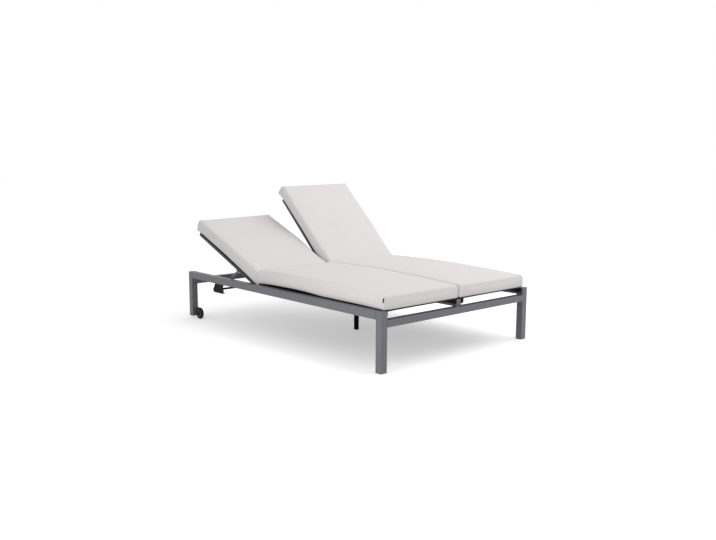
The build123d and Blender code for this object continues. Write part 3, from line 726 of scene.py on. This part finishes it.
def bend_at_fold(place, side):
    """Turn the back part up about the hinge, and keep what is left of the hinge off the sling."""
    reach = fold_reach[side]
    along = place[:, 1]
    weight = smooth_step((along - fold_place[side] + reach) / (2 * reach))
    z = place[:, 2] + underside + back_lift * weight
    turn_by = np.radians(rest_angle[side]) * weight
    over_y = along * np.cos(turn_by) - z * np.sin(turn_by)
    over_z = along * np.sin(turn_by) + z * np.cos(turn_by)
    pressed = underside + squash * (place[:, 2] - underside) * (over_z < underside)
    over_z = np.maximum(over_z, pressed)
    return np.stack([place[:, 0], hinge_y + over_y, hinge_z + over_z], 1)


# %% [markdown]
# Cloth simulation gives the cover the small pulls and puckers that a formula can't. The pad is
# blown up a little from inside with gravity off, while its underside is held, and no point may
# move further than a few millimetres, so the cushion keeps its size.

# %% Puff up a pad by cloth simulation
puff_limit = 0.0028
puff_frames = 14
cover = {"quality": 5, "mass": 0.3, "tension_stiffness": 12, "compression_stiffness": 6,
         "shear_stiffness": 4, "bending_stiffness": 0.2, "uniform_pressure_force": 1.2}


def puff(thing, held_points):
    """Blow a closed pad up a little, with some of its points held, and keep the result."""
    group = thing.vertex_groups.new(name="held")
    group.add([int(i) for i in held_points], 1.0, "REPLACE")
    cloth = thing.modifiers.new("cover", "CLOTH")
    settings = cloth.settings
    for label, value in cover.items():
        setattr(settings, label, value)
    settings.use_pressure = True
    settings.vertex_group_mass = "held"
    settings.effector_weights.gravity = 0
    cloth.collision_settings.use_self_collision = False
    cloth.collision_settings.use_collision = False
    before = np.array([v.co for v in thing.data.vertices], float)
    cloth.point_cache.frame_start = 1
    cloth.point_cache.frame_end = puff_frames
    for number in range(1, puff_frames + 1):
        scene.frame_set(number)
    moved = thing.evaluated_get(bpy.context.evaluated_depsgraph_get())
    after = np.array([v.co for v in moved.data.vertices], float)
    thing.modifiers.clear()
    thing.vertex_groups.clear()
    scene.frame_set(1)
    step = after - before
    size = np.linalg.norm(step, axis=1)
    keep = puff_limit * np.tanh(size / puff_limit) / np.maximum(size, 1e-9)
    kept = before + step * keep[:, None]
    thing.data.vertices.foreach_set("co", kept.astype(np.float32).ravel())
    thing.data.update()
    print(thing.name, "puffed by up to", round(float(size.max()) * 1000, 1), "mm before the limit")


# %% The two cushions
# Width of the fine strip at an edge, and the fine and coarse spacing: in metres along the cushion's
# faces, and in shares of its height
face_spacing = (0.028, 0.004, 0.0105)
height_spacing = (0.16, 0.04, 0.11)
crease_strip, crease_rows = 0.030, 21
held_inset = 0.03


def cushion_lattice(side):
    """The lattice of a cushion: fine at the edges, where they are sewn, and at the fold."""
    near, far = fold_place[side] - crease_strip, fold_place[side] + crease_strip
    seat = graded(foot_reach, near, *face_spacing)
    fold = np.linspace(near, far, crease_rows)[1:-1]
    back = graded(far, head_reach[side], *face_spacing)
    return (graded(*cushion_sides[side], *face_spacing), np.concatenate([seat, fold, back]),
            graded(0.0, 1.0, *height_spacing))


cushions = {}
for side in side_sign:
    points, faces, spots = box_grid(*cushion_lattice(side))
    place = sewn(points, filled(points, rounded(points, side), side), side)
    place = bend_at_fold(place, side)
    cushion = piece_from(f"cushion_{side}", place, faces, spots, cushion_cloth)
    low_x, high_x = cushion_sides[side]
    inside = (points[:, 0] > low_x + held_inset) & (points[:, 0] < high_x - held_inset)
    puff(cushion, np.nonzero(np.isclose(points[:, 2], 0) & inside)[0])
    cushions[side] = cushion
    print(cushion.name, len(cushion.data.polygons), "quads")

# %% [markdown]
# Each cushion takes the place of two stiff CAD pieces, one on the frame and one on the backrest.

# %% The fold's middle, and the stiff CAD cushions hidden
fold_middle_height = 0.05

for side, cushion in cushions.items():
    half_turn = math.radians(rest_angle[side]) / 2
    across_fold = Vector((0, math.cos(half_turn), math.sin(half_turn)))
    upward = Vector((0, -math.sin(half_turn), math.cos(half_turn)))
    centre = Vector((0, hinge_y, hinge_z)) + across_fold * fold_place[side]
    centre += upward * fold_middle_height
    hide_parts(f"seat_cushion_{side}", f"back_cushion_{side}")
    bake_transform(cushion)

# %% [markdown]
# Each sling is a sheet of coated mesh, held along both sides by a bead in a groove. It is a real
# sheet here, with its own thickness and a folded hem at each free end. The backrest's sheet also
# laps over the top of its side tubes, where the photograph shows a black line under the cushion.

# %% A sheet with two faces
sheet_thickness = 0.0018


def sheet_rows(xs, drops, along, top_z, thickness_at):
    """Points of a closed sheet: for each place along it, a row on top and a row below."""
    return np.array([(x, y, top_z - drop - below * thickness_at(y))
                     for y in along for below in (0, 1) for x, drop in zip(xs, drops)])


def sheet_faces(width, rows):
    """Faces that close a sheet's rows into one solid skin."""
    faces, last, end = [], width - 1, rows - 1

    def quad(*corners):
        faces.append([(row * 2 + below) * width + n for row, below, n in corners])

    for row in range(end):
        for n in range(last):
            quad((row, 0, n), (row, 0, n + 1), (row + 1, 0, n + 1), (row + 1, 0, n))
            quad((row, 1, n), (row + 1, 1, n), (row + 1, 1, n + 1), (row, 1, n + 1))
        quad((row, 0, 0), (row + 1, 0, 0), (row + 1, 1, 0), (row, 1, 0))
        quad((row, 0, last), (row, 1, last), (row + 1, 1, last), (row + 1, 0, last))
    for n in range(last):
        quad((0, 0, n), (0, 1, n), (0, 1, n + 1), (0, 0, n + 1))
        quad((end, 0, n), (end, 0, n + 1), (end, 1, n + 1), (end, 1, n))
    return faces


# %% A sling's sheet
side_spacing, length_spacing = (0.012, 0.003, 0.018), (0.030, 0.003, 0.022)
hem_length, bow_length = 0.020, 0.12
turn_width = 0.003


def sling_sheet(name, low_x, high_x, low_y, high_y, top_z, hem, bow, lap):
    """A closed sheet with hems at its ends, a bowed foot edge and turned-down side edges."""
    xs = graded(low_x, high_x, *side_spacing)
    drops = [lap * float(smooth_step(1 - min(x - low_x, high_x - x) / turn_width)) for x in xs]
    along = graded(low_y, high_y, *length_spacing)
    middle, half = (low_x + high_x) / 2, (high_x - low_x) / 2

    def thickness_at(y):
        from_end = min(y - low_y, high_y - y)
        past_hem = float(smooth_step((from_end - hem_length) / turn_width))
        return sheet_thickness + hem * (1 - past_hem)

    points = sheet_rows(xs, drops, along, top_z, thickness_at)
    inwards = 1 - ((points[:, 0] - middle) / half) ** 2
    near_foot = np.clip(1 - (points[:, 1] - low_y) / bow_length, 0, 1)
    points[:, 1] += bow * inwards * near_foot
    faces = sheet_faces(len(xs), len(along))
    spots = [[(points[i][0], points[i][1]) for i in face] for face in faces]
    return piece_from(name, points, faces, spots, sling_cloth_and_painted_shade)


# %% A bead in its groove
bead_radius, bead_sides = 0.0029, 10


def bar_between(outline, low_y, high_y):
    """Points and faces of a closed bar with one outline at both ends."""
    count = len(outline)
    points = [(x, y, z) for y in (low_y, high_y) for x, z in outline]
    faces = [[n, n + count, (n + 1) % count + count, (n + 1) % count] for n in range(count)]
    return points, faces + [list(range(count)), list(reversed(range(count, 2 * count)))]


def bead(name, x, low_y, high_y, bead_z, top_z):
    """The round edge of a sling, and the neck that joins it to the sheet."""
    angles = np.linspace(0, 2 * math.pi, bead_sides, endpoint=False)
    ring = [(x + bead_radius * math.cos(a), bead_z + bead_radius * math.sin(a)) for a in angles]
    half = sheet_thickness / 2
    neck = [(x - half, bead_z), (x + half, bead_z), (x + half, top_z), (x - half, top_z)]
    points, faces = bar_between(ring, low_y, high_y)
    more, walls = bar_between(neck, low_y, high_y)
    faces += [[i + len(points) for i in face] for face in walls]
    points += more
    spots = [[(points[i][2], points[i][1]) for i in face] for face in faces]
    return piece_from(name, np.array(points), faces, spots, sling_cloth_and_painted_shade)


def turn_up(thing, side):
    """Turn a piece made flat up to a backrest's rest angle."""
    hinge = Vector((0, hinge_y, hinge_z))
    swing = Matrix.Rotation(math.radians(rest_angle[side]), 4, "X")
    thing.data.transform(Matrix.Translation(hinge) @ swing @ Matrix.Translation(-hinge))


def dress(sheet, beads, body, node, size):
    """Attach a sling to its body, hide the CAD node it stands for and print its flat size."""
    for piece in [sheet, *beads]:
        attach(piece, body)
    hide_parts(node)
    print(sheet.name, "flat size", [round(v, 3) for v in size])


# %% The slings of the seats
seat_grooves = (0.0305, 0.5870)
seat_sling_ends = (-0.985, 0.1605)
seat_sheet_top, seat_neck_top, seat_bead_height = 0.3355, 0.3340, 0.3275
hem_extra, hem_bow = 0.0025, 0.006

for side, sign in side_sign.items():
    low_x, high_x = sorted(sign * x for x in seat_grooves)
    sheet = sling_sheet(f"seat_sheet_{side}", low_x, high_x, *seat_sling_ends, seat_sheet_top,
                        hem_extra, hem_bow, lap=0.0)
    beads = [bead(f"seat_bead_{side}_{n}", x, *seat_sling_ends, seat_bead_height, seat_neck_top)
             for n, x in enumerate((low_x, high_x))]
    size = (high_x - low_x, seat_sling_ends[1] - seat_sling_ends[0])
    dress(sheet, beads, "frame", f"seat_sling_{side}", size)

# %% The slings of the backrests, made flat and turned up
back_grooves = (0.0420, 0.5755)
back_tube_edges = (0.0295, 0.5880)
back_sling_ends = (hinge_y + 0.070, hinge_y + 0.710)
back_sheet_top, back_neck_top, back_bead_height = 0.3373, 0.3358, 0.3295
edge_overhang, edge_lap = 0.0012, 0.0055

for side, sign in side_sign.items():
    low_x, high_x = sorted(sign * x for x in back_tube_edges)
    sheet = sling_sheet(f"back_sheet_{side}", low_x - edge_overhang, high_x + edge_overhang,
                        *back_sling_ends, back_sheet_top, hem=0.0, bow=0.0, lap=edge_lap)
    beads = [bead(f"back_bead_{side}_{n}", sign * x, *back_sling_ends, back_bead_height,
                  back_neck_top) for n, x in enumerate(back_grooves)]
    for piece in [sheet, *beads]:
        turn_up(piece, side)
    size = (high_x - low_x + 2 * (edge_overhang + edge_lap),
            back_sling_ends[1] - back_sling_ends[0])
    dress(sheet, beads, f"backrest_{side}", f"back_sling_{side}", size)

# %% [markdown]
# Two small labels show on the near cushion: a black loop sewn into the corner at the foot end, and
# a white tab in the lower seam beside the fold. Each is a strip of ribbon along a short path. They
# carry no words.

# %% Labels on the near cushion
ribbon_thickness = 0.0009


def ribbon(name, path, reach, material):
    """A strip along a path, as wide as the reach vector, with a closed skin."""
    path, reach = [Vector(p) for p in path], Vector(reach)
    points, faces = [], []
    for n, here in enumerate(path):
        along = path[min(n + 1, len(path) - 1)] - path[max(n - 1, 0)]
        outward = along.cross(reach).normalized() * ribbon_thickness / 2
        points += [here - outward, here - outward + reach, here + outward + reach, here + outward]
    for first in range(0, 4 * (len(path) - 1), 4):
        for k, after in ((0, 1), (1, 2), (2, 3), (3, 0)):
            faces.append([first + k, first + 4 + k, first + 4 + after, first + after])
    faces += [[0, 1, 2, 3], [4 * len(path) - 1 - k for k in range(4)]]
    spots = [[(points[i].z, points[i].y) for i in face] for face in faces]
    return piece_from(name, points, faces, spots, material)


# %% The loop and the tab, each as turns of its path beside the cushion
near_x = cushion_sides["right"][0]
foot_y = hinge_y + foot_reach
loop_height = 0.380
loop_turns = [(0.004, 0.011), (-0.004, 0.008), (-0.008, 0.005), (-0.0085, 0.003),
              (-0.0065, 0.002), (-0.001, 0.004), (0.004, 0.007)]
loop_path = [(near_x + out, foot_y + along, loop_height) for out, along in loop_turns]
corner_loop = ribbon("corner_loop", loop_path, (0.002, -0.003, 0.024), strap_cloth)

tab_place = 0.189
tab_turns = [(0.003, 0.3465), (-0.003, 0.3445), (-0.006, 0.3400), (-0.011, 0.3362)]
tab_path = [(near_x + out, tab_place, height) for out, height in tab_turns]
fold_tab = ribbon("fold_tab", tab_path, (0, -0.013, 0), white_ribbon)

for label, wide, long in ((corner_loop, 0.0243, 0.0295), (fold_tab, 0.013, 0.0180)):
    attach(label, "frame")
    print(label.name, "flat size", (wide, long))

# %% [markdown]
# Weld ripples and stitches repeat along a path, which is work for Geometry Nodes. One tree serves
# both: it walks each path in even steps, puts a small rounded bead at each step, turned along the
# path and a little uneven in size, and joins them into one mesh. Its inputs are the step, the three
# sizes of a bead, the unevenness, a seed and the material.

# %% A tree that lays beads along a path
bead_tree = bpy.data.node_groups.new("beads_along_path", "GeometryNodeTree")
for label, kind, value in [("Path", "NodeSocketGeometry", None), ("Step", "NodeSocketFloat", 0.003),
                           ("Bead", "NodeSocketVector", (0.001, 0.001, 0.001)),
                           ("Unevenness", "NodeSocketFloat", 0.1), ("Seed", "NodeSocketInt", 1),
                           ("Finish", "NodeSocketMaterial", None)]:
    socket = bead_tree.interface.new_socket(label, in_out="INPUT", socket_type=kind)
    if value is not None:
        socket.default_value = value
bead_tree.interface.new_socket("Beads", in_out="OUTPUT", socket_type="NodeSocketGeometry")

node = bead_tree.nodes.new
tree_in, tree_out = node("NodeGroupInput"), node("NodeGroupOutput")
as_curve = node("GeometryNodeMeshToCurve")
steps = node("GeometryNodeResampleCurve")
steps.mode = "LENGTH"
tangent = node("GeometryNodeInputTangent")
aim = node("FunctionNodeAlignRotationToVector")
aim.axis = "X"
ball = node("GeometryNodeMeshUVSphere")
ball.inputs["Segments"].default_value = 10
ball.inputs["Rings"].default_value = 6
ball.inputs["Radius"].default_value = 1.0
chance = node("FunctionNodeRandomValue")
bead_size = node("ShaderNodeVectorMath")
bead_size.operation = "SCALE"
place_beads = node("GeometryNodeInstanceOnPoints")
realize = node("GeometryNodeRealizeInstances")
finish_beads = node("GeometryNodeSetMaterial")

# %% Wire the tree
low_socket, high_socket = [socket for socket in chance.inputs
                           if socket.name in ("Min", "Max") and socket.type == "VALUE"][:2]
chance_out = next(socket for socket in chance.outputs if socket.type == "VALUE")
uneven_share = tree_in.outputs["Unevenness"]
for target, source in [
        (as_curve.inputs["Mesh"], tree_in.outputs["Path"]),
        (steps.inputs["Curve"], as_curve.outputs["Curve"]),
        (steps.inputs["Length"], tree_in.outputs["Step"]),
        (aim.inputs["Vector"], tangent.outputs["Tangent"]),
        (low_socket, maths(bead_tree, "SUBTRACT", 1.0, uneven_share)),
        (high_socket, maths(bead_tree, "ADD", 1.0, uneven_share)),
        (chance.inputs["Seed"], tree_in.outputs["Seed"]),
        (bead_size.inputs[0], tree_in.outputs["Bead"]),
        (bead_size.inputs["Scale"], chance_out),
        (place_beads.inputs["Points"], steps.outputs["Curve"]),
        (place_beads.inputs["Instance"], ball.outputs["Mesh"]),
        (place_beads.inputs["Rotation"], aim.outputs["Rotation"]),
        (place_beads.inputs["Scale"], bead_size.outputs["Vector"]),
        (realize.inputs["Geometry"], place_beads.outputs["Instances"]),
        (finish_beads.inputs["Geometry"], realize.outputs["Geometry"]),
        (finish_beads.inputs["Material"], tree_in.outputs["Finish"]),
        (tree_out.inputs["Beads"], finish_beads.outputs["Geometry"])]:
    feed(bead_tree, target, source)
print("bead tree:", len(bead_tree.nodes), "nodes")


# %% Beads along given paths
def beads_along(name, paths, **settings):
    """One plain mesh of beads laid along paths, each a list of points."""
    points = [p for path in paths for p in path]
    starts = np.cumsum([0] + [len(path) for path in paths])
    edges = [(int(start) + n, int(start) + n + 1)
             for start, path in zip(starts, paths) for n in range(len(path) - 1)]
    rails = bpy.data.meshes.new(name + "_path")
    rails.from_pydata(points, edges, [])
    host = add_object(name + "_path", rails)
    modifier = host.modifiers.new("beads", "NODES")
    modifier.node_group = bead_tree
    for item in bead_tree.interface.items_tree:
        if item.name in settings:
            modifier[item.identifier] = settings[item.name]
    evaluated = host.evaluated_get(bpy.context.evaluated_depsgraph_get())
    mesh = bpy.data.meshes.new_from_object(evaluated)
    mesh.name = name
    host.modifiers.clear()
    bpy.data.objects.remove(host)
    mesh.polygons.foreach_set("use_smooth", [True] * len(mesh.polygons))
    print(name, len(mesh.polygons), "faces")
    return add_object(name, mesh)


# %% [markdown]
# The welds of the frame are ground flat on its outer faces, so ripples show only where a cross rail
# meets the legs on the inside, under the centre rail and around the braces.

# %% Weld ripples
leg_face, rail_outer, rail_inner = 0.595, 0.996, 0.9546
cross_low, cross_top = 0.2478, 0.2882
centre_face, centre_rail_end = 0.0225, 0.977
brace_y, brace_low, brace_top, brace_half = 0.1775, 0.305, 0.330, 0.0125

weld_paths = []
for end in (-1, 1):
    for side in (-1, 1):
        x, far, near = side * leg_face, end * rail_outer, end * rail_inner
        weld_paths.append([(x, far, cross_top), (x, near, cross_top),
                           (x, near, cross_low), (x, far, cross_low)])
        weld_paths.append([(side * centre_face, end * centre_rail_end, cross_top),
                           (side * centre_face, near, cross_top)])
for x in (-leg_face, -centre_face, centre_face, leg_face):
    corners = [(-brace_half, brace_low), (brace_half, brace_low), (brace_half, brace_top),
               (-brace_half, brace_top), (-brace_half, brace_low)]
    weld_paths.append([(x, brace_y + dy, z) for dy, z in corners])
welds = beads_along("weld_ripples", weld_paths, Step=0.0021, Bead=(0.0018, 0.0021, 0.0021),
                    Unevenness=0.12, Seed=4, Finish=slate)
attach(welds, "frame")

# %% Stitches of the sling hems
stitch_inset, stitch_points = 0.020, 40
stitch_rows = (0.016, 0.019)
stitch_paths = []
for sign in side_sign.values():
    xs = sign * np.linspace(seat_grooves[0] + stitch_inset, seat_grooves[1] - stitch_inset,
                            stitch_points)
    middle, half = sign * sum(seat_grooves) / 2, (seat_grooves[1] - seat_grooves[0]) / 2
    foot_bow = hem_bow * (1 - ((xs - middle) / half) ** 2)
    for from_end in stitch_rows:
        foot_row = seat_sling_ends[0] + from_end + foot_bow * (1 - from_end / bow_length)
        head_row = np.full(len(xs), seat_sling_ends[1] - from_end)
        for row in (foot_row, head_row):
            for z in (seat_sheet_top, seat_sheet_top - sheet_thickness - hem_extra):
                stitch_paths.append([(float(x), float(y), z) for x, y in zip(xs, row)])
stitches = beads_along("hem_stitches", stitch_paths, Step=0.0046, Bead=(0.0017, 0.0005, 0.0003),
                       Unevenness=0.1, Seed=7, Finish=black_thread)
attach(stitches, "frame")
